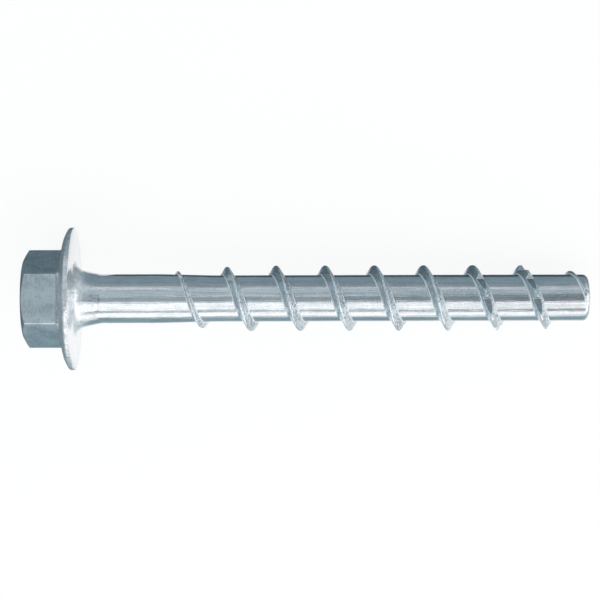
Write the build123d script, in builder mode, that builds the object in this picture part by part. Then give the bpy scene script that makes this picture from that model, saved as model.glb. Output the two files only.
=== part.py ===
"""Concrete screw: hex head with a flange, coarse self-tapping thread and saw-toothed last turns.

One piece of cold-formed steel, so one solid. It is modelled upright, with the centre of its
bearing face at the origin, its head below and its shank along +Z, and is then laid down as it
comes to rest: on the rim of the flange and on the saw teeth of the thread. Sizes are in
millimetres and angles in degrees.
"""

import os
from math import atan2, cos, degrees, radians, sin, sqrt, tan

from build123d import *

os.makedirs("parts", exist_ok=True)

# Hex head
across_flats = 9.92
head_height = 5.8
chamfer_circle_diameter = 9.36
chamfer_angle = 27.6
hex_skirt_width = 0.22
hex_skirt_angle = 40.0

# Flange between the hex and the bearing face
flange_diameter = 16.65
flange_hub_diameter = 9.0
flange_hub_height = 1.6
flange_shoulder_height = 1.0
flange_shoulder_radius = 3.0
flange_edge_height = 0.3
flange_edge_width = 0.925
flange_rim_chamfer = 0.2

# Shank, from the bearing face to the tip
length_under_head = 60.0
neck_diameter = 7.14
neck_length = 3.1
neck_root_radius = 1.5
neck_blend_radius = 3.0
shank_diameter = 5.74
shank_length = 10.2
taper_length = 6.0
core_diameter = 5.43
tip_rounding = 0.68

# Thread ridge: one right-handed start
thread_diameter = 7.65
pitch = 5.74
ridge_width = 1.36
ridge_crest_width = 0.18
ridge_root_width = 0.13
ridge_root_height = 0.08
ridge_bury = 0.1
thread_start = 7.76
run_in_turns = 2.0
run_in_drop = 1.0
run_out_turns = 1.2
run_out_drop = 1.3
run_out_length = 5.75

# Saw teeth, cut into the last turns of the ridge
teeth_per_turn = 8
tooth_count = 14
toothed_full_turns = 1.22
tooth_floor_radius = 3.19
tooth_floor_tilt = 2.8
tooth_wall_lean = 20.0
tooth_width = 2.6

# Gap between the rounded edge of the tip and the cone that ends the ridge there
tip_clearance = 0.02

# How far the screw has rolled from hex flat upwards to where it lies across a notch of the teeth
resting_roll = 10.0

flange_radius = flange_diameter / 2
shank_radius = shank_diameter / 2
core_radius = core_diameter / 2
thread_radius = thread_diameter / 2
full_start = thread_start + run_in_turns * pitch
run_out_start = length_under_head - run_out_length
full_turns = (run_out_start - full_start) / pitch
first_tooth_turn = full_turns - toothed_full_turns


def around(turns):
    """Direction square to the axis, some turns of the helix on from +X."""
    return Vector(cos(radians(360 * turns)), sin(radians(360 * turns)), 0)


def ridge_section(turns, drop):
    """Axial section of the ridge after some turns, sunk towards the axis by drop."""
    outward = around(turns)
    buried_radius = core_radius - ridge_bury - drop
    flank_radius = core_radius + ridge_root_height - drop
    crest_radius = thread_radius - drop
    half_flank = ridge_width / 2
    half_buried = half_flank + ridge_root_width * (1 + ridge_bury / ridge_root_height)
    half_crest = ridge_crest_width / 2
    plane = Plane((0, 0, turns * pitch), x_dir=outward, z_dir=outward.cross(Vector(0, 0, 1)))
    with BuildSketch(plane) as section:
        with BuildLine():
            Polyline(
                (buried_radius, -half_buried),
                (flank_radius, -half_flank),
                (crest_radius, -half_crest),
                (crest_radius, half_crest),
                (flank_radius, half_flank),
                (buried_radius, half_buried),
                close=True,
            )
        make_face()
    return section.sketch


# Blank: a turned profile from the flange to the tip, with the hex raised on the flange
tip_step = tip_rounding * (1 - sqrt(0.5))
with BuildPart() as blank:
    with BuildSketch(Plane.XZ):
        with BuildLine():
            FilletPolyline(
                (0, -flange_hub_height),
                (flange_hub_diameter / 2, -flange_hub_height),
                (flange_radius - flange_edge_width, -flange_shoulder_height),
                (flange_radius - flange_rim_chamfer, -flange_edge_height - flange_rim_chamfer),
                (flange_radius, -flange_edge_height),
                (flange_radius, 0),
                (neck_diameter / 2, 0),
                (shank_radius, neck_length),
                (shank_radius, shank_length),
                (core_radius, shank_length + taper_length),
                (core_radius, length_under_head - tip_rounding),
                (core_radius - tip_step, length_under_head - tip_step),
                (core_radius - tip_rounding, length_under_head),
                (0, length_under_head),
                radius=[
                    0,
                    0,
                    flange_shoulder_radius,
                    0,
                    0,
                    0,
                    neck_root_radius,
                    neck_blend_radius,
                    0,
                    0,
                    0,
                    0,
                    0,
                    0,
                ],
                close=True,
            )
        make_face()
    revolve(axis=Axis.Z)
    with BuildSketch(Plane.XY.offset(-head_height)):
        RegularPolygon(across_flats / 2, 6, major_radius=False, rotation=30)
    extrude(amount=head_height - flange_edge_height)
    with BuildSketch(Plane.XY.offset(-flange_hub_height - hex_skirt_width)):
        RegularPolygon(across_flats / 2, 6, major_radius=False, rotation=30)
    extrude(amount=2 * hex_skirt_width, taper=-hex_skirt_angle)
    # The corners of the hex are turned down to a circle at the top of the head
    chamfer_reach = across_flats / 2
    chamfer_rise = chamfer_reach * tan(radians(chamfer_angle))
    with BuildSketch(Plane.XZ):
        with BuildLine():
            Polyline(
                (chamfer_circle_diameter / 2, -head_height),
                (chamfer_circle_diameter / 2 + chamfer_reach, -head_height + chamfer_rise),
                (chamfer_circle_diameter / 2 + chamfer_reach, -head_height),
                close=True,
            )
        make_face()
    revolve(axis=Axis.Z, mode=Mode.SUBTRACT)

# Ridge of the thread: it rises out of the shank, runs at full height and sinks again at the tip
with BuildPart() as run_in:
    with BuildLine() as run_in_helix:
        Helix(pitch, run_in_turns * pitch, core_radius)
    sweep(
        sections=[ridge_section(0, run_in_drop), ridge_section(run_in_turns, 0)],
        path=run_in_helix.wires()[0],
        multisection=True,
        is_frenet=True,
    )

with BuildPart() as full_ridge:
    with BuildLine() as full_helix:
        Helix(pitch, full_turns * pitch, core_radius)
    sweep(sections=ridge_section(0, 0), path=full_helix.wires()[0], is_frenet=True)

with BuildPart() as run_out:
    with BuildLine() as run_out_helix:
        Helix(pitch, run_out_turns * pitch, core_radius)
    sweep(
        sections=[ridge_section(0, 0), ridge_section(run_out_turns, run_out_drop)],
        path=run_out_helix.wires()[0],
        multisection=True,
        is_frenet=True,
    )

with BuildPart() as upright:
    add(blank.part)
    with Locations(Location((0, 0, thread_start), (0, 0, -360 * run_in_turns))):
        add(run_in.part)
    with Locations((0, 0, full_start)):
        add(full_ridge.part)
    with Locations(Location((0, 0, run_out_start), (0, 0, 360 * full_turns))):
        add(run_out.part)

    # The ridge stops at the end face and at the rounded edge of the tip
    trim_reach = thread_radius
    trim_radius = core_radius - 2 * tip_step + tip_clearance
    with BuildSketch(Plane.XZ):
        with BuildLine():
            Polyline(
                (0, length_under_head),
                (trim_radius, length_under_head),
                (trim_radius + trim_reach, length_under_head - trim_reach),
                (trim_radius + trim_reach, length_under_head + trim_reach),
                (0, length_under_head + trim_reach),
                close=True,
            )
        make_face()
    revolve(axis=Axis.Z, mode=Mode.SUBTRACT)

    # Each saw tooth has a leaning wall that faces along the thread to the tip, and a flat floor.
    # The cutter stands twice as high as the tooth is deep, to pass the crest
    cutter_height = 2 * (thread_radius - tooth_floor_radius)
    cutter_lean = cutter_height * tan(radians(tooth_wall_lean))
    floor_length = thread_radius
    floor_rise = floor_length * tan(radians(tooth_floor_tilt))
    for tooth in range(tooth_count):
        turns = first_tooth_turn + tooth / teeth_per_turn
        tooth_plane = Plane((0, 0, full_start + turns * pitch), x_dir=around(turns), z_dir=(0, 0, 1))
        with BuildSketch(tooth_plane):
            with BuildLine():
                Polyline(
                    (tooth_floor_radius, 0),
                    (tooth_floor_radius + cutter_height, -cutter_lean),
                    (tooth_floor_radius + cutter_height, floor_length),
                    (tooth_floor_radius + floor_rise, floor_length),
                    close=True,
                )
            make_face()
        extrude(amount=tooth_width / 2, both=True, mode=Mode.SUBTRACT)

# At rest the screw lies on the edge of its bearing face and on the corner that touches first
floor_side = around(0.5 + resting_roll / 360)
resting_tilt = 90.0
for corner in upright.vertices():
    if corner.Z > full_start:
        corner_radius = Vector(corner.X, corner.Y, 0).dot(floor_side)
        resting_tilt = min(resting_tilt, degrees(atan2(flange_radius - corner_radius, corner.Z)))

slope_cos = cos(radians(resting_tilt))
slope_sin = sin(radians(resting_tilt))
head_end = -head_height * slope_cos - chamfer_circle_diameter / 2 * slope_sin
tip_end = length_under_head * slope_cos + (core_radius - tip_rounding) * slope_sin
resting_plane = Plane(
    (-(head_end + tip_end) / 2, 0, flange_radius * slope_cos),
    x_dir=(slope_sin, 0, slope_cos),
    z_dir=(slope_cos, 0, -slope_sin),
)

with BuildPart(resting_plane) as concrete_screw:
    add(upright.part, rotation=(0, 0, -resting_roll))

concrete_screw.part.label = "concrete_screw"
export_step(concrete_screw.part, "parts/concrete_screw.step")
print("resting tilt", round(resting_tilt, 3), "origin of the screw", tuple(resting_plane.origin))
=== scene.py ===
"""Looks of the concrete screw: its fine mesh, its zinc plating and the studio it lies in.

The screw is modelled upright in millimetres, as the solid is: the centre of its bearing face at
the origin, its head below and its tip along +Z. It is then laid down on the flange and the saw
teeth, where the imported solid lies, and brought to metres.
"""

import logging
from collections.abc import Callable, Iterator
from contextlib import contextmanager
from dataclasses import dataclass, field
from enum import Enum
from math import atan2, cos, degrees, hypot, pi, radians, sin, tan

import bmesh
import bpy
from mathutils import Matrix, Vector


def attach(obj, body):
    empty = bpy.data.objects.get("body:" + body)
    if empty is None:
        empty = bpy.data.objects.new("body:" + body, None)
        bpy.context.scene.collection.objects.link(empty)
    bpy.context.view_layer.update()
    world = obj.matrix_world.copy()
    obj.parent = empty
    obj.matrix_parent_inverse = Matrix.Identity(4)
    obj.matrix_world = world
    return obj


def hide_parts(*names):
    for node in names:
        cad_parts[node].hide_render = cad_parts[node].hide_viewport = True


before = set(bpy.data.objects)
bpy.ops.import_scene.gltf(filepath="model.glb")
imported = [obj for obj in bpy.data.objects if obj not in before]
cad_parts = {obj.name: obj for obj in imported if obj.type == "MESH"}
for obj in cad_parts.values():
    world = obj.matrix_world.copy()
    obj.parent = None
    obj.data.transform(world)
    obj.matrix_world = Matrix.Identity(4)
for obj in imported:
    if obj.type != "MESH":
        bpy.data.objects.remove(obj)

logging.basicConfig(level=logging.INFO, format="%(name)s: %(message)s")
log = logging.getLogger("concrete_screw")

Point = tuple[float, float]
Triple = tuple[float, float, float]
Socket = bpy.types.NodeSocket

# A millimetre and a micrometre, in metres
MILLIMETRE = 0.001
MICROMETRE = 1e-6

# In millimetres: how far off a place may be and still count, and how close two vertices are
# merged, where a turned skin closes and where the turns of the thread meet
NEAR = 0.01
TURNED_GAP = 1e-5
WOUND_GAP = 1e-4


class Combine(Enum):
    """How one closed shape is joined with another."""

    ADD = "UNION"
    CUT = "DIFFERENCE"
    KEEP = "INTERSECT"


# Modelling helpers


def activate(*pieces: bpy.types.Object) -> None:
    """Select these objects and nothing else, in object mode, and make the first one active.

    Args:
        pieces: The objects; with none, everything is deselected.
    """
    if bpy.context.object is not None and bpy.context.object.mode != "OBJECT":
        bpy.ops.object.mode_set(mode="OBJECT")
    bpy.ops.object.select_all(action="DESELECT")
    for piece in pieces:
        piece.select_set(True)
    if pieces:
        bpy.context.view_layer.objects.active = pieces[0]


def remove(piece: bpy.types.Object) -> None:
    """Delete an object that has been used up."""
    activate(piece)
    bpy.ops.object.delete()


def apply_place() -> None:
    """Bring the place, turn and size of the selected object into its mesh."""
    bpy.ops.object.transform_apply(location=True, rotation=True, scale=True)


def apply_modifier(piece: bpy.types.Object, kind: str, **settings: object) -> None:
    """Give an object a modifier and apply it.

    Args:
        piece: The object.
        kind: The modifier's type.
        settings: Its attributes.
    """
    activate(piece)
    modifier = piece.modifiers.new(kind.lower(), kind)
    for name, value in settings.items():
        setattr(modifier, name, value)
    bpy.ops.object.modifier_apply(modifier=modifier.name)


@contextmanager
def editing(piece: bpy.types.Object) -> Iterator[None]:
    """Edit a piece's mesh, with all of it selected to start with.

    Args:
        piece: The object to edit.

    Returns:
        The context, which ends in object mode.
    """
    activate(piece)
    bpy.ops.object.mode_set(mode="EDIT")
    bpy.ops.mesh.select_mode(type="VERT")
    bpy.ops.mesh.select_all(action="SELECT")
    yield
    bpy.ops.object.mode_set(mode="OBJECT")


def select_vertices(piece: bpy.types.Object, test: Callable[[Vector], bool]) -> None:
    """Select, in edit mode, the vertices that pass a test of their place.

    Args:
        piece: The object in edit mode.
        test: Takes a vertex's place and says whether it is selected.
    """
    bpy.ops.mesh.select_mode(type="VERT")
    bpy.ops.mesh.select_all(action="DESELECT")
    mesh = bmesh.from_edit_mesh(piece.data)
    for vertex in mesh.verts:
        vertex.select = test(vertex.co)
    mesh.select_flush(True)
    bmesh.update_edit_mesh(piece.data)


def select_edges(piece: bpy.types.Object, test: Callable[[bmesh.types.BMEdge], bool]) -> int:
    """Select, in edit mode, the edges that pass a test.

    Args:
        piece: The object in edit mode.
        test: Takes an edge and says whether it is selected.

    Returns:
        How many edges are selected.
    """
    bpy.ops.mesh.select_mode(type="EDGE")
    bpy.ops.mesh.select_all(action="DESELECT")
    mesh = bmesh.from_edit_mesh(piece.data)
    chosen = [edge for edge in mesh.edges if test(edge)]
    for edge in chosen:
        edge.select = True
    bmesh.update_edit_mesh(piece.data)
    return len(chosen)


def draw_section(name: str, points: list[Point]) -> bpy.types.Object:
    """Draw an open line in the XZ plane, point by point.

    Args:
        name: The new object's name.
        points: Radius and height of each point.

    Returns:
        The object that holds the line, in object mode.
    """
    activate()
    radius, height = points[0]
    bpy.ops.mesh.primitive_plane_add(size=1, location=(0, 0, 0))
    piece = bpy.context.object
    piece.name = piece.data.name = name
    with editing(piece):
        bpy.ops.mesh.merge(type="CENTER")
        bpy.ops.transform.translate(value=(radius, 0, height))
        for next_radius, next_height in points[1:]:
            step = (next_radius - radius, 0, next_height - height)
            bpy.ops.mesh.extrude_vertices_move(TRANSFORM_OT_translate={"value": step})
            radius, height = next_radius, next_height
    return piece


def arc(centre: Point, radius: float, start: float, end: float, count: int) -> list[Point]:
    """Points on an arc, both ends included.

    Args:
        centre: Radius and height of the arc's centre.
        radius: The arc's own radius.
        start: Angle of the first point, in degrees from the radial direction.
        end: Angle of the last point.
        count: How many points.

    Returns:
        The points in order.
    """
    angles = [radians(start + (end - start) * step / (count - 1)) for step in range(count)]
    return [(centre[0] + radius * cos(a), centre[1] + radius * sin(a)) for a in angles]


def rounded(before: Point, corner: Point, after: Point, radius: float, count: int) -> list[Point]:
    """Points of a round that replaces a corner.

    Args:
        before: The point before the corner.
        corner: The sharp corner.
        after: The point after it.
        radius: Radius of the round.
        count: How many points.

    Returns:
        The round's points in order.
    """
    here = Vector(corner)
    back = (Vector(before) - here).normalized()
    ahead = (Vector(after) - here).normalized()
    half = back.angle(ahead) / 2
    centre = here + (back + ahead).normalized() * radius / sin(half)
    first = here + back * radius / tan(half) - centre
    last = here + ahead * radius / tan(half) - centre
    start = degrees(atan2(first.y, first.x))
    sweep = degrees(first.angle_signed(last))
    return arc((centre.x, centre.y), radius, start, start - sweep, count)


def extrude_rings(rings: list[Point]) -> None:
    """Extrude the selected loop or face from ring to ring round the screw's axis.

    Args:
        rings: Radius and height of each ring, the first where the selection already is.
    """
    for (radius, height), (next_radius, next_height) in zip(rings, rings[1:]):
        step = (0, 0, next_height - height)
        bpy.ops.mesh.extrude_region_move(TRANSFORM_OT_translate={"value": step})
        grow = next_radius / radius
        bpy.ops.transform.resize(value=(grow, grow, 1), center_override=(0, 0, next_height))


def turn_section(piece: bpy.types.Object, steps: int) -> None:
    """Spin an open line round the screw's axis into a closed skin.

    Args:
        piece: The object that holds the line.
        steps: Faces round the axis.
    """
    with editing(piece):
        bpy.ops.mesh.spin(steps=steps, angle=2 * pi, center=(0, 0, 0), axis=(0, 0, 1))
        bpy.ops.mesh.select_all(action="SELECT")
        bpy.ops.mesh.remove_doubles(threshold=TURNED_GAP)
        bpy.ops.mesh.normals_make_consistent(inside=False)


def combine(piece: bpy.types.Object, tool: bpy.types.Object, how: Combine) -> None:
    """Join, cut or intersect a closed shape with another, which is used up.

    Args:
        piece: The shape that stays.
        tool: The shape that is used up.
        how: What is kept.
    """
    apply_modifier(piece, "BOOLEAN", operation=how.value, solver="EXACT", object=tool)
    remove(tool)


def open_edges(piece: bpy.types.Object) -> int:
    """Count the edges that don't have exactly two faces.

    Args:
        piece: The object to look at.

    Returns:
        How many there are; none in a closed shape.
    """
    activate(piece)
    bpy.ops.object.mode_set(mode="EDIT")
    mesh = bmesh.from_edit_mesh(piece.data)
    count = sum(1 for edge in mesh.edges if len(edge.link_faces) != 2)
    bpy.ops.object.mode_set(mode="OBJECT")
    return count


# The screw


@dataclass
class RestingPlace:
    """Where the screw lies: on the flange's rim and across a notch of its saw teeth.

    Attributes:
        tilt: How far the axis dips towards the tip, in degrees.
        roll: How far the screw has rolled from hex flat upwards, in degrees.
        origin: Where the centre of the bearing face lies, in metres.
    """

    tilt: float = 5.025246
    roll: float = 10.0
    origin: Triple = (-0.02687999, 0.0, 0.00829300)

    def turn(self) -> Matrix:
        """Work out the turn from the upright screw to the lying one.

        Returns:
            The turn.
        """
        tilt, roll = radians(self.tilt), radians(self.roll)
        along = Vector((cos(tilt), 0, -sin(tilt)))
        up = Vector((sin(tilt) * cos(roll), sin(roll), cos(tilt) * cos(roll)))
        side = along.cross(up)
        return Matrix((up, side, along)).transposed()

    def point(self, radial: float, side: float, height: float) -> Vector:
        """Place in metres of a point given in the upright screw's millimetres."""
        return Vector(self.origin) + self.turn() @ Vector((radial, side, height)) * MILLIMETRE

    def lay_down(self, piece: bpy.types.Object) -> None:
        """Bring an upright piece in millimetres to its resting place in metres.

        Args:
            piece: The upright piece.
        """
        activate(piece)
        turn = self.turn().to_4x4()
        piece.matrix_world = Matrix.Translation(self.origin) @ turn @ Matrix.Scale(MILLIMETRE, 4)
        bpy.context.view_layer.update()
        apply_place()


@dataclass
class TurnedBlank:
    """Flange, neck and plain shank, turned from one section.

    Attributes:
        hub_height: Height of the flat under the hex, over the bearing face.
        edge_width: How far inside the rim the dome's shoulder is.
        rim_step: Height that the rim's round adds to its upright part.
        rim_round: Radius of that round.
        face_round: Radius between the rim and the bearing face.
        shank_end: Height at which the threaded part takes over.
        top_rings: Radii of the rings of vertices on the flat under the hex.
        dome_ring: Radius of the first ring on the dome.
        face_rings: Radii of the rings on the bearing face.
        shank_rings: Heights of the rings on the plain shank.
        steps: Faces round the axis.
    """

    flange_radius: float = 8.325
    hub_radius: float = 4.5
    hub_height: float = 1.6
    edge_width: float = 0.925
    shoulder_height: float = 1.0
    shoulder_radius: float = 3.0
    edge_height: float = 0.3
    rim_step: float = 0.2
    rim_round: float = 0.32
    face_round: float = 0.07
    neck_radius: float = 3.57
    neck_length: float = 3.1
    neck_root: float = 1.5
    neck_blend: float = 3.0
    shank_radius: float = 2.87
    shank_end: float = 6.4
    top_rings: tuple[float, ...] = (0.0, 2.0, 3.6)
    dome_ring: float = 5.0
    face_rings: tuple[float, ...] = (7.6, 6.9, 6.2)
    shank_rings: tuple[float, ...] = (4.3, 5.0, 5.7)
    steps: int = 96

    def section(self) -> list[Point]:
        """Draw up the section.

        Returns:
            Its points, from the axis on the flange's top to the end of the plain shank.
        """
        hub = (self.hub_radius, -self.hub_height)
        shoulder = (self.flange_radius - self.edge_width, -self.shoulder_height)
        rim_top = (self.flange_radius, -self.edge_height - self.rim_step)
        rim_low = (self.flange_radius, 0.0)
        neck_root = (self.neck_radius, 0.0)
        neck_top = (self.shank_radius, self.neck_length)
        end = (self.shank_radius, self.shank_end)
        fall = (self.hub_height - self.shoulder_height) / (shoulder[0] - self.hub_radius)
        dome_fall = (self.dome_ring - self.hub_radius) * fall
        points = [(radius, -self.hub_height) for radius in self.top_rings]
        points += [hub, (self.dome_ring, -self.hub_height + dome_fall)]
        points += rounded(hub, shoulder, rim_top, self.shoulder_radius, 9)
        points += rounded(shoulder, rim_top, rim_low, self.rim_round, 7)
        points += rounded(rim_top, rim_low, neck_root, self.face_round, 4)
        points += [(radius, 0.0) for radius in self.face_rings]
        points += rounded(rim_low, neck_root, neck_top, self.neck_root, 12)
        points += rounded(neck_root, neck_top, end, self.neck_blend, 7)
        points += [(self.shank_radius, height) for height in (*self.shank_rings, self.shank_end)]
        return points

    def build(self) -> bpy.types.Object:
        """Turn the blank.

        Returns:
            The skin of the blank, open at the end of the plain shank.
        """
        piece = draw_section("blank", self.section())
        turn_section(piece, self.steps)
        return piece


@dataclass
class ThreadedShank:
    """Core with its thread: one ridge that rises, runs at full height and sinks at the tip.

    Attributes:
        root_round: Radius between the core and the ridge's flank.
        core_shares: Where the section's points are on the core, from mid-gap to the root.
        flank_shares: Where they are on the flank, from the root to the crest.
        least_spread: Least width of the sunk ridge, as a share of its full width.
        end_rings: Radii of the rings of vertices on the tip's end.
        lead_turns: Turns modelled before the ridge starts, cut off again below front.
        spare_turns: Turns modelled beyond the tip, cut off again there.
        front: Height at which the threaded part starts.
        cage_layers: Layers of the lattice that tapers the shank.
        steps: Faces to a turn.
    """

    length: float = 60.0
    core_radius: float = 2.715
    shank_radius: float = 2.87
    taper_start: float = 10.2
    taper_length: float = 6.0
    thread_radius: float = 3.825
    pitch: float = 5.74
    ridge_width: float = 1.36
    ridge_root_height: float = 0.08
    crest_width: float = 0.18
    root_round: float = 0.12
    core_shares: tuple[float, ...] = (0, 0.28, 0.54, 0.76, 0.92)
    flank_shares: tuple[float, ...] = (0.2, 0.42, 0.64, 0.82, 0.93)
    thread_start: float = 7.76
    run_in_turns: float = 2.0
    run_in_drop: float = 1.0
    fade_in_turns: float = 0.5
    run_out_turns: float = 1.2
    run_out_drop: float = 1.3
    run_out_length: float = 5.75
    least_spread: float = 0.3
    tip_round: float = 0.68
    end_rings: tuple[float, ...] = (1.75, 1.2, 0.6)
    lead_turns: int = 1
    spare_turns: float = 1.6
    front: float = 6.8
    cage_layers: int = 4
    steps: int = 96

    @property
    def full_turns(self) -> float:
        """Turns from the start of the ridge to the end of its full height."""
        return (self.length - self.run_out_length - self.thread_start) / self.pitch

    def half_ridge(self) -> list[Point]:
        """Draw up half of the ridge's section.

        Returns:
            Its points, from the middle of the gap between two turns to just before the crest.
        """
        slope = (self.ridge_width - self.crest_width) / 2
        slope /= self.thread_radius - self.core_radius - self.ridge_root_height
        foot = self.ridge_width / 2 + slope * self.ridge_root_height
        lean = atan2(1, slope)
        reach = self.root_round * tan(lean / 2)
        centre = (self.core_radius + self.root_round, -foot - reach)
        fillet = arc(centre, self.root_round, 180, 180 - degrees(lean), 5)
        half_pitch = self.pitch / 2
        span = half_pitch + fillet[0][1]
        core = [(self.core_radius, -half_pitch + span * share) for share in self.core_shares]
        root_radius, root_height = fillet[-1]
        climb = self.thread_radius - root_radius
        flank = [
            (root_radius + climb * share, root_height + climb * share * slope)
            for share in self.flank_shares
        ]
        crest = [
            (self.thread_radius - 0.02, -self.crest_width / 2 + 0.012),
            (self.thread_radius - 0.003, -self.crest_width / 4),
        ]
        return core + fillet + flank + crest

    def ridge_share(self, turns: float) -> float:
        """Work out how high the ridge is at a place along it.

        Args:
            turns: Turns from the start of the ridge.

        Returns:
            Its height there as a share of its full height.
        """
        height = self.thread_radius - self.core_radius
        if turns <= self.run_in_turns:
            crest = self.thread_radius - self.run_in_drop * (1 - turns / self.run_in_turns)
            place = self.thread_start + turns * self.pitch
            start = min(1.0, max(0.0, turns / self.fade_in_turns)) ** 2
            return start * max(0.0, (crest / self.swell(place) - self.core_radius) / height)
        sunk = max(0.0, turns - self.full_turns) * self.run_out_drop / self.run_out_turns
        return max(0.0, 1 - sunk / height)

    def swell(self, height: float) -> float:
        """Work out how many times thicker than the core the shank is.

        Args:
            height: Height over the bearing face.

        Returns:
            The ratio, which falls to 1 over the taper.
        """
        share = (height - self.taper_start) / self.taper_length
        share = min(1.0, max(0.0, share))
        return 1 + (self.shank_radius / self.core_radius - 1) * (1 - share)

    def sink_ridge(self, piece: bpy.types.Object, turns_count: int, section_count: int) -> None:
        """Lower the ridge ring by ring where it rises out of the shank and where it runs out.

        Args:
            piece: The threaded skin, in edit mode, with its rings in order.
            turns_count: Turns in the skin.
            section_count: Vertices in a ring.
        """
        kept = len(self.core_shares) - 1
        mesh = bmesh.from_edit_mesh(piece.data)
        mesh.verts.ensure_lookup_table()
        bpy.ops.mesh.select_all(action="DESELECT")
        for ring in range(turns_count * self.steps + 1):
            share = self.ridge_share(ring / self.steps - self.lead_turns)
            if share == 1:
                continue
            first = ring * section_count
            past = first + section_count
            middle = (mesh.verts[first].co + mesh.verts[past - 1].co) / 2
            for vertex in mesh.verts[first + kept : past - kept]:
                vertex.select = True
            size = (share, share, max(share, self.least_spread))
            bpy.ops.transform.resize(value=size, center_override=middle)
            mesh = bmesh.from_edit_mesh(piece.data)
            mesh.verts.ensure_lookup_table()
            for vertex in mesh.verts[first:past]:
                vertex.select = False

    def build(self) -> bpy.types.Object:
        """Wind the section along its helix, sink its ends, taper it and round the tip.

        Returns:
            The skin of the threaded part, open at its front and closed at the tip.
        """
        half = self.half_ridge()
        section = half + [(self.thread_radius, 0.0)] + [(r, -z) for r, z in reversed(half)]
        start = self.thread_start - self.lead_turns * self.pitch
        piece = draw_section("thread", [(r, z + start) for r, z in section])
        turns_count = int((self.length - start) / self.pitch + self.spare_turns)
        apply_modifier(
            piece,
            "SCREW",
            axis="Z",
            angle=2 * pi,
            screw_offset=self.pitch,
            iterations=turns_count,
            steps=self.steps,
            render_steps=self.steps,
            use_merge_vertices=False,
        )
        front = (0, 0, self.front)
        tip_start = (0, 0, self.length - self.tip_round)
        with editing(piece):
            self.sink_ridge(piece, turns_count, len(section))
            bpy.ops.mesh.select_all(action="SELECT")
            bpy.ops.mesh.remove_doubles(threshold=WOUND_GAP)
            bpy.ops.mesh.normals_make_consistent(inside=False)
            bpy.ops.mesh.bisect(plane_co=front, plane_no=(0, 0, 1), clear_inner=True)
            bpy.ops.mesh.select_all(action="SELECT")
            bpy.ops.mesh.bisect(plane_co=tip_start, plane_no=(0, 0, 1), clear_outer=True)
            self.round_tip()
        self.taper(piece)
        return piece

    def round_tip(self) -> None:
        """Extrude the selected open loop over the rounded edge of the tip and close its end."""
        centre = (self.core_radius - self.tip_round, self.length - self.tip_round)
        edge = arc(centre, self.tip_round, 0, 90, 7)
        extrude_rings(edge + [(radius, self.length) for radius in self.end_rings])
        bpy.ops.mesh.extrude_region_move()
        bpy.ops.mesh.merge(type="CENTER")

    def taper(self, piece: bpy.types.Object) -> None:
        """Swell the threaded part to the plain shank's radius at its front, with a lattice.

        Args:
            piece: The threaded skin, core wide all along.
        """
        activate()
        middle = self.taper_start + self.taper_length / 2
        bpy.ops.object.add(type="LATTICE", location=(0, 0, middle))
        cage = bpy.context.object
        width = 4 * self.core_radius
        cage.scale = (width, width, self.taper_length * (self.cage_layers - 1))
        lattice = cage.data
        lattice.points_u = lattice.points_v = 2
        lattice.points_w = self.cage_layers
        lattice.interpolation_type_u = lattice.interpolation_type_v = "KEY_LINEAR"
        lattice.interpolation_type_w = "KEY_LINEAR"
        swell = self.shank_radius / self.core_radius
        for point in lattice.points[: 2 * self.cage_layers]:
            x, y, z = point.co_deform
            point.co_deform = (x * swell, y * swell, z)
        apply_modifier(piece, "LATTICE", object=cage)
        remove(cage)


@dataclass
class SawTeeth:
    """Notches that cut the last turns of the ridge into saw teeth.

    Attributes:
        toothed_full_turns: Turns of the full ridge that have teeth.
        cutter_height: Height of a cutter, enough to pass the crest.
        floor_length: How far a cutter reaches along the thread.
    """

    shank: ThreadedShank
    per_turn: int = 8
    count: int = 14
    toothed_full_turns: float = 1.22
    floor_radius: float = 3.19
    floor_tilt: float = 2.8
    wall_lean: float = 20.0
    width: float = 2.6
    cutter_height: float = 1.27
    floor_length: float = 2.0

    def cutter(self) -> bpy.types.Object:
        """Model one cutter: a block with a leaning wall and a rising floor.

        Returns:
            The cutter at angle and height zero.
        """
        activate()
        middle = (self.floor_radius + self.cutter_height / 2, self.floor_length / 2, 0)
        bpy.ops.mesh.primitive_cube_add(size=1, location=middle)
        piece = bpy.context.object
        piece.name = piece.data.name = "cutter"
        piece.scale = (self.cutter_height, self.floor_length, self.width)
        apply_place()
        top = self.floor_radius + self.cutter_height - NEAR
        floor = self.floor_radius + NEAR
        far = self.floor_length - NEAR
        with editing(piece):
            select_vertices(piece, lambda place: place.x > top and place.y < NEAR)
            lean = self.cutter_height * tan(radians(self.wall_lean))
            bpy.ops.transform.translate(value=(0, -lean, 0))
            select_vertices(piece, lambda place: place.x < floor and place.y > far)
            rise = self.floor_length * tan(radians(self.floor_tilt))
            bpy.ops.transform.translate(value=(rise, 0, 0))
        return piece

    def cut(self, piece: bpy.types.Object) -> None:
        """Cut the notches into the ridge.

        Args:
            piece: The closed shape of the whole shank.
        """
        shank = self.shank
        full_start = shank.thread_start + shank.run_in_turns * shank.pitch
        first_turn = shank.full_turns - shank.run_in_turns - self.toothed_full_turns
        pattern = self.cutter()
        cutters = []
        for tooth in range(self.count):
            turns = first_turn + tooth / self.per_turn
            activate(pattern)
            bpy.ops.object.duplicate()
            copy = bpy.context.object
            copy.location = (0, 0, full_start + turns * shank.pitch)
            copy.rotation_euler = (0, 0, radians(360 * turns))
            apply_place()
            cutters.append(copy)
        remove(pattern)
        activate(*cutters)
        bpy.ops.object.join()
        combine(piece, cutters[0], Combine.CUT)


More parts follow.
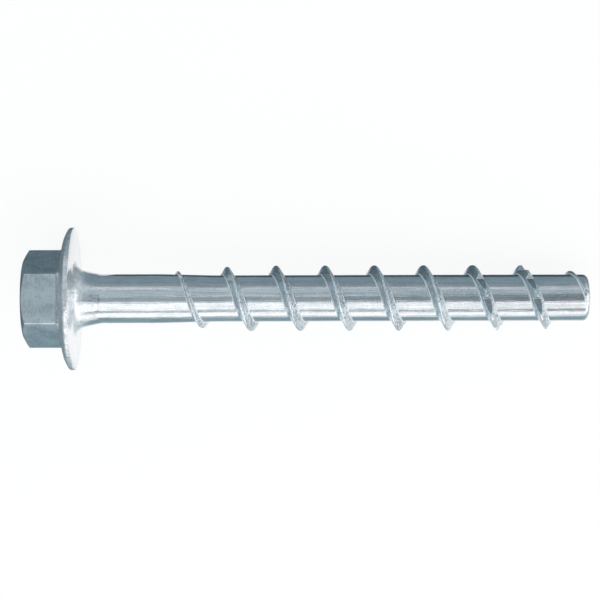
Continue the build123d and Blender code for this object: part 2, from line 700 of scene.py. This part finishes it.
@dataclass
class HexHead:
    """Hex with a chamfered top, softened edges and a small round at its foot.

    Attributes:
        foot: Height at which the prism's foot is buried in the flange.
        edge_round: Radius of the upright edges.
        rim_round: Width of the rubbed round along the chamfer's edges.
        worn_angle: Sharpness from which an edge is rubbed round, in degrees.
        foot_round: Radius of the round between the hex and the flange.
        envelope_end: Height at which the turned envelope of the hex ends.
        steps: Faces round the envelope.
    """

    across_flats: float = 9.92
    height: float = 5.8
    chamfer_circle_radius: float = 4.68
    chamfer_angle: float = 27.6
    foot: float = -0.9
    foot_start: float = -1.7
    edge_round: float = 0.06
    rim_round: float = 0.07
    worn_angle: float = 18.0
    foot_round: float = 0.16
    envelope_end: float = 1.0
    steps: int = 192

    def envelope(self) -> bpy.types.Object:
        """Turn the shape that the hex is cut to.

        Returns:
            A cylinder with a conical top.
        """
        outer = self.across_flats
        rise = (outer - self.chamfer_circle_radius) * tan(radians(self.chamfer_angle))
        section = [
            (0.0, -self.height),
            (self.chamfer_circle_radius, -self.height),
            (outer, -self.height + rise),
            (outer, self.envelope_end),
            (0.0, self.envelope_end),
        ]
        piece = draw_section("envelope", section)
        turn_section(piece, self.steps)
        return piece

    def is_upright(self, edge: bmesh.types.BMEdge) -> bool:
        """Say whether an edge runs up a corner of the hex.

        Args:
            edge: An edge of the hex and its foot.

        Returns:
            Whether it does.
        """
        low, high = edge.verts
        reach = hypot(*low.co.xy)
        is_level = abs(low.co.z - high.co.z) < WOUND_GAP
        is_ring = abs(reach - hypot(*high.co.xy)) < WOUND_GAP
        return not (is_level and is_ring) and reach > self.across_flats / 2

    def build(self) -> bpy.types.Object:
        """Model the hex.

        Returns:
            A closed hex whose foot reaches into the flange.
        """
        activate()
        apothem = self.across_flats / 2
        depth = self.height + self.foot_start
        bpy.ops.mesh.primitive_cylinder_add(
            vertices=6,
            radius=apothem / cos(radians(30)),
            depth=depth,
            location=(0, 0, -self.height + depth / 2),
        )
        piece = bpy.context.object
        piece.name = piece.data.name = "hex"
        apply_place()
        with editing(piece):
            select_vertices(piece, lambda place: place.z > self.foot_start - NEAR)
            centre = (apothem + self.foot_round, self.foot_start)
            rings = arc(centre, self.foot_round, 180, 90, 6)
            extrude_rings([*rings, (rings[-1][0], self.foot)])
            select_edges(piece, self.is_upright)
            bpy.ops.mesh.bevel(offset=self.edge_round, segments=4, profile=0.5, affect="EDGES")
        combine(piece, self.envelope(), Combine.KEEP)
        apply_modifier(
            piece,
            "BEVEL",
            limit_method="ANGLE",
            angle_limit=radians(self.worn_angle),
            width=self.rim_round,
            segments=3,
        )
        with editing(piece):
            bpy.ops.mesh.remove_doubles(threshold=NEAR)
            bpy.ops.mesh.dissolve_degenerate(threshold=NEAR / 10)
        return piece


@dataclass
class ConcreteScrew:
    """The whole screw, one closed skin.

    Attributes:
        smooth_angle: Angle up to which neighbouring faces are shaded as one, in degrees.
    """

    place: RestingPlace = field(default_factory=RestingPlace)
    blank: TurnedBlank = field(default_factory=TurnedBlank)
    shank: ThreadedShank = field(default_factory=ThreadedShank)
    head: HexHead = field(default_factory=HexHead)
    smooth_angle: float = 28.0

    def join_shank(self) -> bpy.types.Object:
        """Join the threaded part to the turned blank.

        Returns:
            The closed skin of flange and shank.
        """
        piece = self.blank.build()
        thread = self.shank.build()
        activate(piece, thread)
        bpy.ops.object.join()
        with editing(piece):
            count = select_edges(piece, lambda edge: edge.is_boundary)
            log.info("bridging %d open edges", count)
            bpy.ops.mesh.bridge_edge_loops()
            bpy.ops.mesh.select_all(action="SELECT")
            bpy.ops.mesh.normals_make_consistent(inside=False)
        return piece

    def build(self) -> bpy.types.Object:
        """Model the screw upright and lay it down.

        Returns:
            The finished screw in its resting place.
        """
        piece = self.join_shank()
        log.info("shank: %d faces, %d open edges", len(piece.data.polygons), open_edges(piece))
        SawTeeth(self.shank).cut(piece)
        log.info("teeth: %d faces, %d open edges", len(piece.data.polygons), open_edges(piece))
        head = self.head.build()
        log.info("hex: %d faces, %d open edges", len(head.data.polygons), open_edges(head))
        combine(piece, head, Combine.ADD)
        log.info("whole: %d faces, %d open edges", len(piece.data.polygons), open_edges(piece))
        piece.name = piece.data.name = "plated_screw"
        self.place.lay_down(piece)
        activate(piece)
        bpy.ops.object.shade_smooth_by_angle(angle=radians(self.smooth_angle))
        return piece


class Nodes:
    """Short ways to add the nodes of one material, or of the world."""

    def __init__(self, owner: bpy.types.Material | bpy.types.World) -> None:
        """Start from the tree of a new material or world."""
        owner.use_nodes = True
        self.tree = owner.node_tree

    def add(self, kind: str, **settings: object) -> bpy.types.Node:
        """Add a node.

        Args:
            kind: The node's type.
            settings: Its attributes.

        Returns:
            The node.
        """
        node = self.tree.nodes.new(kind)
        for name, value in settings.items():
            setattr(node, name, value)
        return node

    def feed(self, value: object, socket: Socket) -> None:
        """Link a socket to another one, or set it to a value.

        Args:
            value: The other socket, or a number, vector or colour.
            socket: The input that takes it.
        """
        if isinstance(value, bpy.types.NodeSocket):
            self.tree.links.new(value, socket)
        else:
            socket.default_value = value

    def math(self, operation: str, *values: object, clamp: bool = False) -> Socket:
        """Add a Math node.

        Args:
            operation: Its operation.
            values: A number or a socket for each input.
            clamp: Whether the result is kept between 0 and 1.

        Returns:
            The result.
        """
        node = self.add("ShaderNodeMath", operation=operation, use_clamp=clamp)
        for value, socket in zip(values, node.inputs):
            self.feed(value, socket)
        return node.outputs[0]

    def ramp(
        self, value: object, low: float, high: float, start: float = 0, end: float = 1
    ) -> Socket:
        """Add a smooth step.

        Args:
            value: What is mapped.
            low: Where the step starts.
            high: Where it ends.
            start: The result below low.
            end: The result above high.

        Returns:
            The result.
        """
        node = self.add("ShaderNodeMapRange", interpolation_type="SMOOTHSTEP")
        names = ("Value", "From Min", "From Max", "To Min", "To Max")
        for given, name in zip((value, low, high, start, end), names):
            self.feed(given, node.inputs[name])
        return node.outputs["Result"]

    def noise(self, place: Socket, stretch: Triple, detail: float) -> Socket:
        """Add noise about zero, from -1 to 1.

        Args:
            place: The pattern's coordinates, in millimetres.
            stretch: Features to the millimetre, along each axis.
            detail: How many finer layers it has.

        Returns:
            The noise.
        """
        node = self.add("ShaderNodeTexNoise", noise_dimensions="3D")
        self.feed(self.vector("MULTIPLY", place, stretch), node.inputs["Vector"])
        for name, value in (("Scale", 1), ("Detail", detail), ("Roughness", 0.6)):
            node.inputs[name].default_value = value
        return self.math("MULTIPLY", self.math("SUBTRACT", node.outputs["Fac"], 0.5), 2.0)

    def chain(self, operation: str, *values: object) -> Socket:
        """Work several results into one, from the first to the last.

        Args:
            operation: A Math node's operation.
            values: A number or a socket each.

        Returns:
            The result.
        """
        result = values[0]
        for value in values[1:]:
            result = self.math(operation, result, value)
        return result

    def total(self, *values: object) -> Socket:
        """Add up several results."""
        return self.chain("ADD", *values)

    def product(self, *values: object) -> Socket:
        """Multiply several results."""
        return self.chain("MULTIPLY", *values)

    def blend(self, first: object, second: object, share: Socket) -> Socket:
        """Mix two colours.

        Args:
            first: The colour at a share of 0.
            second: The colour at a share of 1.
            share: How much of the second there is.

        Returns:
            The mixed colour.
        """
        change = self.vector("SUBTRACT", second, first)
        return self.vector("ADD", first, self.vector("SCALE", change, share))

    def vector(self, operation: str, *values: object, result: int = 0) -> Socket:
        """Add a Vector Math node.

        Args:
            operation: Its operation.
            values: A vector, a number or a socket for each input.
            result: Which of its outputs is returned.

        Returns:
            The result.
        """
        node = self.add("ShaderNodeVectorMath", operation=operation)
        sockets = [node.inputs[0], node.inputs[3 if operation == "SCALE" else 1]]
        for value, socket in zip(values, sockets):
            self.feed(value, socket)
        return node.outputs[result]


@dataclass(frozen=True)
class Finish:
    """How one kind of surface on the screw looks.

    Attributes:
        colour: What it reflects.
        dull_colour: What it reflects where it is stained or painted in shade.
        roughness: How far it spreads reflections.
        metal: How metallic it is; the rest is matt.
        relief: Height of its marks, in micrometres.
    """

    colour: Triple
    dull_colour: Triple
    roughness: float
    metal: float
    relief: float


@dataclass(frozen=True)
class StainAndShade:
    """How strongly each pattern stains the plating or paints shade on it.

    Attributes:
        everywhere: How stained every surface is.
        clouds: Slow change of the tone over the whole screw.
        grain: The plating's grain.
        streaks: Streaks on the shank.
        tipward_shade: Painted shade on the shank towards the tip, where its highlight fades.
        rolling: Marks of the rolling dies on the ridge.
        speckle: Speckles among them.
        dents: Dents in what was forged.
        flare: Blotches on the root of the neck.
        brushing: Brush marks and clouds on the hex.
        hub: Painted shadow on the ring of flange round the hex, at the hex's foot.
    """

    everywhere: float = 0.35
    clouds: float = 0.9
    grain: float = 1.5
    streaks: float = 1.1
    tipward_shade: float = 0.2
    rolling: float = 1.5
    speckle: float = 1.9
    dents: float = 1.4
    flare: float = 1.6
    brushing: float = 0.9
    hub: float = 0.8


@dataclass(frozen=True)
class ZincPlating:
    """Bright zinc plating over drawn and forged steel and a thread made by rolling, with painted
    light and shade on some parts.

    Attributes:
        drawn: The shank and the core.
        forged: The flange and the tip's end.
        flare: The root of the neck, where it spreads into the flange: painted near white and
            partly matt, a painted highlight, with the real blotches of the forging.
        bearing: The flange's flat face, painted near white and brighter than the zinc elsewhere:
            painted light that lifts the shade under the flange.
        satin: The hex.
        flank: The side of the ridge that faces the head: the darker, shaded copy of the ridge's
            finish, painted shade.
        lit_flank: The side of the ridge that faces the tip: the paler, less metallic, lit copy of
            that finish, a painted highlight.
        root: The line where the ridge rises out of the core, painted near white and matt: a
            painted highlight along it.
        cut: Floors and walls of the notches, darker than the rest: painted shade in these
            recesses.
        stain_and_shade: How they are stained and painted in shade.
        edge_tint: Colour of reflections at a grazing angle.
        wear_and_highlight_colour: Colour of a ridge edge that wear and a painted highlight
            lighten.
        wear_and_highlight_metal: How much of its metal look such an edge loses.
        fine_share: Height of the fine streaks, as a share of the streaks' height.
        streaks_gloss: How far the fine streaks change the roughness.
        grain_gloss: How far the grain changes it.
        grain: Height of the fine grain of the plating, in micrometres.
        waves: Height of the slow waves on every surface, in micrometres.
        wear_and_highlight_radius: How far the lightened edges and the softened normals reach from
            an edge, in metres.
    """

    name: str = "zinc_plating"
    drawn: Finish = Finish((0.68, 0.71, 0.735), (0.49, 0.535, 0.57), 0.13, 1.0, 8.0)
    forged: Finish = Finish((0.86, 0.87, 0.88), (0.50, 0.55, 0.59), 0.27, 0.8, 60.0)
    flare: Finish = Finish((0.98, 0.99, 1.0), (0.74, 0.78, 0.81), 0.28, 0.6, 80.0)
    bearing: Finish = Finish((0.98, 0.98, 0.98), (0.92, 0.925, 0.93), 0.22, 1.0, 6.0)
    satin: Finish = Finish((0.64, 0.71, 0.75), (0.43, 0.495, 0.535), 0.3, 1.0, 5.0)
    flank: Finish = Finish((0.78, 0.87, 0.92), (0.54, 0.61, 0.66), 0.25, 0.85, 14.0)
    lit_flank: Finish = Finish((0.96, 0.985, 1.0), (0.33, 0.385, 0.43), 0.33, 0.6, 45.0)
    root: Finish = Finish((0.93, 0.98, 1.0), (0.80, 0.85, 0.89), 0.35, 0.1, 20.0)
    cut: Finish = Finish((0.37, 0.43, 0.47), (0.27, 0.32, 0.36), 0.3, 1.0, 10.0)
    stain_and_shade: StainAndShade = StainAndShade()
    edge_tint: Triple = (0.97, 0.98, 0.99)
    wear_and_highlight_colour: Triple = (0.93, 0.98, 1.0)
    wear_and_highlight_metal: float = 0.7
    fine_share: float = 0.4
    streaks_gloss: float = 0.05
    grain_gloss: float = 0.04
    grain: float = 2.0
    waves: float = 7.0
    wear_and_highlight_radius: float = 0.0001

    def local(self, nodes: Nodes, value: Socket, place: RestingPlace, is_spot: bool) -> Socket:
        """Bring a place or a direction into the upright screw's axes.

        Args:
            nodes: The material's nodes.
            value: The place in metres, or the direction.
            place: Where the screw lies.
            is_spot: Whether it is a place, which comes out in millimetres.

        Returns:
            The place or direction.
        """
        mapping = nodes.add("ShaderNodeMapping", vector_type="TEXTURE")
        nodes.feed(value, mapping.inputs["Vector"])
        mapping.inputs["Rotation"].default_value = place.turn().to_euler("XYZ")
        if is_spot:
            mapping.inputs["Location"].default_value = place.origin
            mapping.inputs["Scale"].default_value = (MILLIMETRE, MILLIMETRE, MILLIMETRE)
        return mapping.outputs["Vector"]

    def material(self, place: RestingPlace) -> bpy.types.Material:
        """Make the material.

        Args:
            place: Where the screw lies, so that patterns follow its axis.

        Returns:
            The node material.
        """
        material = bpy.data.materials.new(self.name)
        nodes = Nodes(material)
        math, ramp, total, product = nodes.math, nodes.ramp, nodes.total, nodes.product
        shader = nodes.tree.nodes["Principled BSDF"]
        shader.inputs["Specular Tint"].default_value = (*self.edge_tint, 1)

        facing = nodes.add("ShaderNodeNewGeometry").outputs["Normal"]
        spot = self.local(nodes, nodes.add("ShaderNodeTexCoord").outputs["Object"], place, True)
        normal = self.local(nodes, facing, place, False)
        apart = nodes.add("ShaderNodeSeparateXYZ")
        nodes.feed(spot, apart.inputs[0])
        height = apart.outputs["Z"]
        flat_spot = nodes.vector("MULTIPLY", spot, (1, 1, 0))
        radius = nodes.vector("LENGTH", flat_spot, result=1)
        outward = nodes.vector("NORMALIZE", flat_spot)
        forward = nodes.vector("CROSS_PRODUCT", (0, 0, 1), outward)
        faces_out = nodes.vector("DOT_PRODUCT", normal, outward, result=1)
        faces_along = math("ABSOLUTE", nodes.vector("DOT_PRODUCT", normal, forward, result=1))
        faces_tip = nodes.vector("DOT_PRODUCT", normal, (0, 0, 1), result=1)

        on_hex = ramp(height, -1.75, -1.6, 1, 0)
        rough = total(ramp(height, 0.3, 2.3, 1, 0), ramp(height, 59.3, 59.7, 0, 0.6))
        rise = math("SUBTRACT", radius, ramp(height, 10.2, 16.2, 2.87, 2.715))
        on_ridge = product(ramp(rise, 0.01, 0.04), ramp(height, 6, 7))
        drawn = math("SUBTRACT", math("SUBTRACT", 1.0, rough), on_ridge, clamp=True)
        # Painted light: the bearing face gets a near-white finish that lifts the shade under the
        # flange.
        bearing = product(ramp(faces_tip, 0.93, 0.99), ramp(height, 0.3, 0.6, 1, 0))
        upset = math("SUBTRACT", math("SUBTRACT", rough, on_hex), bearing, clamp=True)
        # Painted highlight: the root of the neck gets a near-white, partly matt finish.
        flare = product(upset, ramp(height, -0.06, -0.02), ramp(height, 3.5, 4.5, 1, 0))
        forged = math("SUBTRACT", upset, flare, clamp=True)
        on_teeth = ramp(height, 44, 46)
        # Painted shade: the floors and walls of the notches get a darker finish.
        on_floor = product(ramp(faces_out, 0.75, 0.9), ramp(radius, 3.6, 3.74, 1, 0))
        is_cut = product(math("MAXIMUM", on_floor, ramp(faces_along, 0.5, 0.7)), on_teeth)
        cut = product(on_ridge, is_cut)
        whole = math("SUBTRACT", on_ridge, cut)
        # Painted highlight: a near-white, matt line where the ridge rises out of the core.
        root = product(whole, ramp(rise, 0.12, 0.2, 1, 0))
        flanks = math("SUBTRACT", whole, root)
        # Painted light: the ridge's flanks are split by the way they face, into a pale lit copy
        # towards the tip and a darker shaded copy towards the head.
        lit_flank = product(flanks, ramp(faces_tip, 0.15, 0.45))
        flank = math("SUBTRACT", flanks, lit_flank)

        streaks = nodes.noise(spot, (4.5, 4.5, 0.09), 3)
        fine_streaks = nodes.noise(spot, (11.0, 11.0, 0.2), 2)
        dents = nodes.noise(spot, (1.5, 1.5, 1.5), 3)
        rolling = nodes.noise(spot, (3.2, 3.2, 3.2), 3)
        brushing = nodes.noise(spot, (1.1, 1.1, 7.0), 3)
        speckle = nodes.noise(spot, (5.5, 5.5, 5.5), 2)
        waves = nodes.noise(spot, (0.6, 0.6, 0.2), 1)
        grain = nodes.noise(spot, (8.0, 8.0, 8.0), 2)
        clouds = nodes.noise(spot, (0.55, 0.55, 0.4), 3)
        zones = (
            (drawn, self.drawn, total(streaks, product(fine_streaks, self.fine_share))),
            (forged, self.forged, dents),
            (flare, self.flare, dents),
            (bearing, self.bearing, dents),
            (on_hex, self.satin, brushing),
            (flank, self.flank, rolling),
            (lit_flank, self.lit_flank, rolling),
            (root, self.root, rolling),
            (cut, self.cut, rolling),
        )

        relief = total(
            *(product(mask, pattern, finish.relief) for mask, finish, pattern in zones),
            product(grain, self.grain),
            product(waves, self.waves),
        )
        bevel = nodes.add("ShaderNodeBevel", samples=4)
        bevel.inputs["Radius"].default_value = self.wear_and_highlight_radius
        softened = bevel.outputs["Normal"]
        bump = nodes.add("ShaderNodeBump")
        bump.inputs["Distance"].default_value = MICROMETRE
        bump.inputs["Strength"].default_value = 1
        nodes.feed(softened, bump.inputs["Normal"])
        nodes.feed(relief, bump.inputs["Height"])
        nodes.feed(bump.outputs["Normal"], shader.inputs["Normal"])

        roughness = total(
            *(product(mask, finish.roughness) for mask, finish, _ in zones),
            product(fine_streaks, drawn, self.streaks_gloss),
            product(grain, self.grain_gloss),
        )
        nodes.feed(roughness, shader.inputs["Roughness"])
        flatness = nodes.vector("DOT_PRODUCT", softened, facing, result=1)
        sharpness = math("SUBTRACT", 1.0, flatness)
        # Wear and painted highlight: the ridge's edges are lightened only on the side that faces
        # the tip, and all round on the toothed turns.
        side = math("MAXIMUM", ramp(faces_tip, -0.3, 0.05), on_teeth)
        wear_and_highlight = product(ramp(sharpness, 0.006, 0.05), side, on_ridge)
        metal = total(*(product(mask, finish.metal) for mask, finish, _ in zones))
        lost = product(metal, wear_and_highlight, self.wear_and_highlight_metal)
        nodes.feed(math("SUBTRACT", metal, lost), shader.inputs["Metallic"])

        clean = nodes.add("ShaderNodeCombineXYZ").outputs[0]
        dull = nodes.add("ShaderNodeCombineXYZ").outputs[0]
        for mask, finish, _ in zones:
            clean = nodes.vector("ADD", clean, nodes.vector("SCALE", finish.colour, mask))
            dull = nodes.vector("ADD", dull, nodes.vector("SCALE", finish.dull_colour, mask))
        # Painted shadow at the foot of the hex, on the ring of flange round it.
        hub = product(ramp(radius, 5.0, 6.8, 1, 0), ramp(height, -1.7, -0.9, 1, 0), forged)
        by = self.stain_and_shade
        stain_and_shade = total(
            product(total(streaks, fine_streaks), drawn, by.streaks),
            product(total(rolling, product(speckle, by.speckle)), on_ridge, by.rolling),
            product(dents, upset, by.dents),
            product(total(dents, speckle), flare, by.flare),
            product(total(brushing, clouds), on_hex, by.brushing),
            # Painted shade: the shank darkens towards the tip.
            product(ramp(height, 12, 30), drawn, by.tipward_shade),
            product(clouds, by.clouds),
            product(grain, by.grain),
            product(hub, by.hub),
        )
        surface = nodes.blend(clean, dull, math("ADD", stain_and_shade, by.everywhere, clamp=True))
        nodes.feed(nodes.blend(surface, self.wear_and_highlight_colour, wear_and_highlight), shader.inputs["Base Color"])
        return material


class Around(Enum):
    """Which way a lamp's angles are measured, from the camera's direction."""

    PICTURE_TOP = "across"
    TIP = "along"


@dataclass(frozen=True)
class Softbox:
    """A long soft lamp beside the screw.

    Attributes:
        name: The lamp's name.
        low: Angle where it starts, in degrees from the camera's direction.
        high: Angle where it ends.
        radiance: How bright it looks, where 1 is white.
        around: Which way its angles are measured.
        length: Length square to those angles, in metres.
        distance: Distance from the screw, in metres.
        shift: How far it is moved along its length, to the tip or the picture's top, in metres.
        level: Where along the screw's axis it hangs, in millimetres from the bearing face.
        colour: Its light's colour.
    """

    name: str
    low: float
    high: float
    radiance: float
    around: Around = Around.PICTURE_TOP
    length: float = 0.8
    distance: float = 0.4
    shift: float = 0.1
    level: float = 26.0
    colour: Triple = (1.0, 0.935, 0.89)

    def hang(self, place: RestingPlace) -> None:
        """Hang the lamp, level with the middle of the screw.

        Args:
            place: Where the screw lies.
        """
        turn = place.turn()
        angle = radians((self.low + self.high) / 2)
        ways = ((1, 0, 0), (0, -1, 0), (0, 0, 1))
        to_camera, to_top, to_tip = (turn @ Vector(way) for way in ways)
        side, along = (to_top, to_tip) if self.around is Around.PICTURE_TOP else (to_tip, to_top)
        out = to_camera * cos(angle) + side * sin(angle)
        across = out.cross(along)
        middle = place.point(0, 0, self.level) + out * self.distance + along * self.shift
        width = 2 * self.distance * tan(radians(self.high - self.low) / 2)
        data = bpy.data.lights.new(self.name, "AREA")
        data.shape = "RECTANGLE"
        data.size, data.size_y = self.length, width
        data.energy = self.radiance * pi * self.length * width
        data.color = self.colour
        light = bpy.data.objects.new(self.name, data)
        bpy.context.scene.collection.objects.link(light)
        facing = Matrix((along, across, out)).transposed().to_4x4()
        light.matrix_world = Matrix.Translation(middle) @ facing


@dataclass(frozen=True)
class Card:
    """A grey card laid beside the screw, out of the camera's sight, that its edges mirror: a
    painted dark reflection, which casts no shadow and lights nothing.

    Its edges run where a ray that the shank mirrors meets the floor, so it narrows with the
    height of the axis towards the tip.

    Attributes:
        name: The card's name.
        near: Angle of the shank's normal where it mirrors the card's near edge, in degrees from
            the camera's direction to the picture's top.
        far: Angle of the normal where it mirrors the far edge.
        start: Where the card starts, along the screw's axis from the bearing face, in mm.
        end: Where it ends.
        grey: How much light it gives back.
        radius: Radius of the part of the screw that mirrors it, in metres.
        flare: How much wider it gets on each side with the distance from the screw.
        least_height: Least height of the axis that its edges allow for, in metres.
        tint: Colour of its grey.
    """

    name: str
    near: float
    far: float
    start: float
    end: float
    grey: float
    radius: float = 0.00277
    flare: float = 0.12
    least_height: float = 0.003
    tint: Triple = (0.72, 0.92, 1.0)

    def corner(self, place: RestingPlace, angle: float, height: float) -> Point:
        """X and Y of a corner, in metres.

        Args:
            place: Where the screw lies.
            angle: Angle of the shank's normal there.
            height: Place along the screw's axis, in mm.

        Returns:
            Where the mirrored ray meets the floor.
        """
        axis = place.point(0, 0, height)
        normal = radians(angle + place.roll)
        mirrored = radians(2 * angle + place.roll)
        rise = max(axis.z, self.least_height) + self.radius * cos(normal)
        side = self.radius * sin(normal) - rise * tan(mirrored)
        widen = abs(side) * (self.flare if height == self.end else -self.flare)
        return axis.x + widen, side

    def lay(self, place: RestingPlace, lift: float) -> None:
        """Lay the card on the floor.

        Args:
            place: Where the screw lies.
            lift: How far above the floor the card lies, in metres.
        """
        activate()
        bpy.ops.mesh.primitive_plane_add(size=2, location=(0, 0, lift))
        piece = bpy.context.object
        piece.name = piece.data.name = self.name
        apply_place()
        for vertex in piece.data.vertices:
            height = self.start if vertex.co.x < 0 else self.end
            angle = self.near if vertex.co.y < 0 else self.far
            vertex.co.xy = self.corner(place, angle, height)
        material = bpy.data.materials.new(self.name)
        inputs = Nodes(material).tree.nodes["Principled BSDF"].inputs
        inputs["Base Color"].default_value = (*(self.grey * part for part in self.tint), 1)
        inputs["Roughness"].default_value = 0.9
        inputs["Specular IOR Level"].default_value = 0
        piece.data.materials.append(material)
        # Only mirrors see the card: it paints a dark reflection.
        piece.visible_camera = piece.visible_diffuse = piece.visible_shadow = False


@dataclass
class Studio:
    """Pale floor, soft lamps, grey cards that paint dark reflections on the screw's edges, and
    the camera.

    Attributes:
        first_lift: How far above the floor the first card lies, in metres.
        lift_step: How far above it the next one lies.
        floor_size: Length of the floor's sides, in metres.
        floor_grey: How much of the lamps' light the floor gives back.
        floor_glow: How bright it looks by itself, to the camera and in mirrors.
        sky: Colour of the surroundings.
        scale: Pixels to the millimetre at the screw's axis.
        distance: Distance of the camera from the axis, in pixels at that scale.
        bearing_pixel: Column of the bearing face in the picture.
        axis_pixel: Row of the axis.
        roll: How far the camera is turned about its own axis, in degrees.
    """

    place: RestingPlace
    lamps: tuple[Softbox, ...] = (
        Softbox("key_softbox", -59, -18.5, 1.08),
        Softbox("side_softbox", -93, -71, 1.22),
        Softbox("low_softbox", -99.5, -93, 0.98),
        Softbox("top_strip", 9.5, 14.5, 0.5, length=0.4, shift=-0.155),
        Softbox("back_strip", 44, 55, 0.4),
        Softbox("tip_softbox", 64, 91, 1.35, Around.TIP, length=0.5, shift=-0.13),
    )
    cards: tuple[Card, ...] = (
        Card("head_under_card", 64, -64, -20, -3.4, 0.32),
        Card("head_end_card", 60, -60, -70, -20, 0.3),
        Card("head_top_card", 70, 40.3, -120, 1.9, 0.31),
        Card("head_bottom_card", -75, -50.3, -120, 1.9, 0.47),
        Card("shank_side_card", 83, 80, 4.5, 75, 0.5, flare=0.3),
        Card("shank_edge_card", 80, 67, 4.5, 75, 0.16, flare=0.3),
        Card("shank_top_card", 67, 40.3, 4.0, 75, 0.53, flare=0.3),
        Card("shank_bottom_card", -77, -55.0, 5.0, 75, 0.6, flare=0.3),
    )
    first_lift: float = 0.0001
    lift_step: float = 0.00001
    floor_size: float = 3.0
    floor_grey: float = 0.16
    floor_glow: float = 0.868
    sky: Triple = (0.80, 0.93, 1.0)
    scale: float = 8.55
    distance: float = 2040.0
    bearing_pixel: float = 74.7
    axis_pixel: float = 298.27
    roll: float = 0.153
    middle_pixel: float = 300.0
    image_width: int = 600

    def camera(self) -> None:
        """Look at the screw as the photograph does, square to its axis."""
        along = (self.middle_pixel - self.bearing_pixel) / self.scale
        side = (self.middle_pixel - self.axis_pixel) / self.scale
        target = self.place.point(0, side, along)
        eye = self.place.point(self.distance / self.scale, side, along)
        data = bpy.data.cameras.new("camera")
        camera = bpy.data.objects.new("camera", data)
        bpy.context.scene.collection.objects.link(camera)
        back = (eye - target).normalized()
        right = self.place.turn() @ Vector((0, 0, 1))
        top = back.cross(right)
        lean = radians(self.roll)
        right, top = right * cos(lean) - top * sin(lean), top * cos(lean) + right * sin(lean)
        turn = Matrix((right, top, back)).transposed()
        camera.matrix_world = Matrix.Translation(eye) @ turn.to_4x4()
        data.lens = data.sensor_width * self.distance / self.image_width
        data.clip_start = 0.01
        bpy.context.scene.camera = camera

    def floor(self) -> None:
        """Lay the floor under the screw: a pale surface that takes shadows and reads as white."""
        activate()
        bpy.ops.mesh.primitive_plane_add(size=self.floor_size, location=(0, 0, 0))
        piece = bpy.context.object
        piece.name = piece.data.name = "floor"
        material = bpy.data.materials.new("floor")
        nodes = Nodes(material)
        nodes.tree.nodes.remove(nodes.tree.nodes["Principled BSDF"])
        matt = nodes.add("ShaderNodeBsdfDiffuse")
        grey = self.floor_grey
        matt.inputs["Color"].default_value = (grey, grey, grey, 1)
        path = nodes.add("ShaderNodeLightPath").outputs
        mirrored = nodes.math("ADD", path["Is Camera Ray"], path["Is Glossy Ray"])
        seen = nodes.math("ADD", mirrored, path["Is Transmission Ray"], clamp=True)
        glow = nodes.add("ShaderNodeEmission")
        nodes.feed(nodes.product(seen, self.floor_glow), glow.inputs["Strength"])
        both = nodes.add("ShaderNodeAddShader")
        for shader, socket in zip((matt, glow), both.inputs):
            nodes.feed(shader.outputs[0], socket)
        nodes.feed(both.outputs[0], nodes.tree.nodes["Material Output"].inputs["Surface"])
        piece.data.materials.append(material)

    def world(self) -> None:
        """Surround the scene with pale light that changes with direction.

        It is brightest halfway down to the picture's top side, and dimmer in a band near
        overhead, on the side of the tip.
        """
        world = bpy.data.worlds.new("studio")
        bpy.context.scene.world = world
        nodes = Nodes(world)
        background = nodes.tree.nodes["Background"]
        apart = nodes.add("ShaderNodeSeparateXYZ")
        nodes.feed(nodes.add("ShaderNodeTexCoord").outputs["Generated"], apart.inputs[0])
        x, y = apart.outputs["X"], apart.outputs["Y"]
        rise = nodes.ramp(y, 0.42, 0.5, 0.53, 0.7)
        fall = nodes.ramp(y, 0.72, 1.0, 1.0, 0.6)
        band = nodes.product(nodes.ramp(x, 0.11, 0.23), nodes.ramp(x, 0.24, 0.3, 0.58, 0))
        dim = nodes.math("SUBTRACT", 1.0, nodes.product(nodes.ramp(y, 0.4, 0.5, 1, 0), band))
        nodes.feed(nodes.product(rise, fall, dim), background.inputs["Strength"])
        background.inputs["Color"].default_value = (*self.sky, 1)

    def light(self) -> None:
        """Light the screw softly, mostly from the picture's bottom side, and lay the cards that
        paint dark reflections on its edges.
        """
        self.world()
        for lamp in self.lamps:
            lamp.hang(self.place)
        for layer, card in enumerate(self.cards):
            card.lay(self.place, self.first_lift + self.lift_step * layer)


def main() -> None:
    """Build the screw and its studio."""
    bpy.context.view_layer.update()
    screw = ConcreteScrew().build()
    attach(screw, "root")
    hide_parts("concrete_screw")
    screw.data.materials.clear()
    screw.data.materials.append(ZincPlating().material(RestingPlace()))
    log.info("screw: %d faces", len(screw.data.polygons))
    studio = Studio(RestingPlace())
    studio.floor()
    studio.light()
    studio.camera()
    bpy.context.scene.view_settings.view_transform = "Standard"


if __name__ == "__main__":
    main()
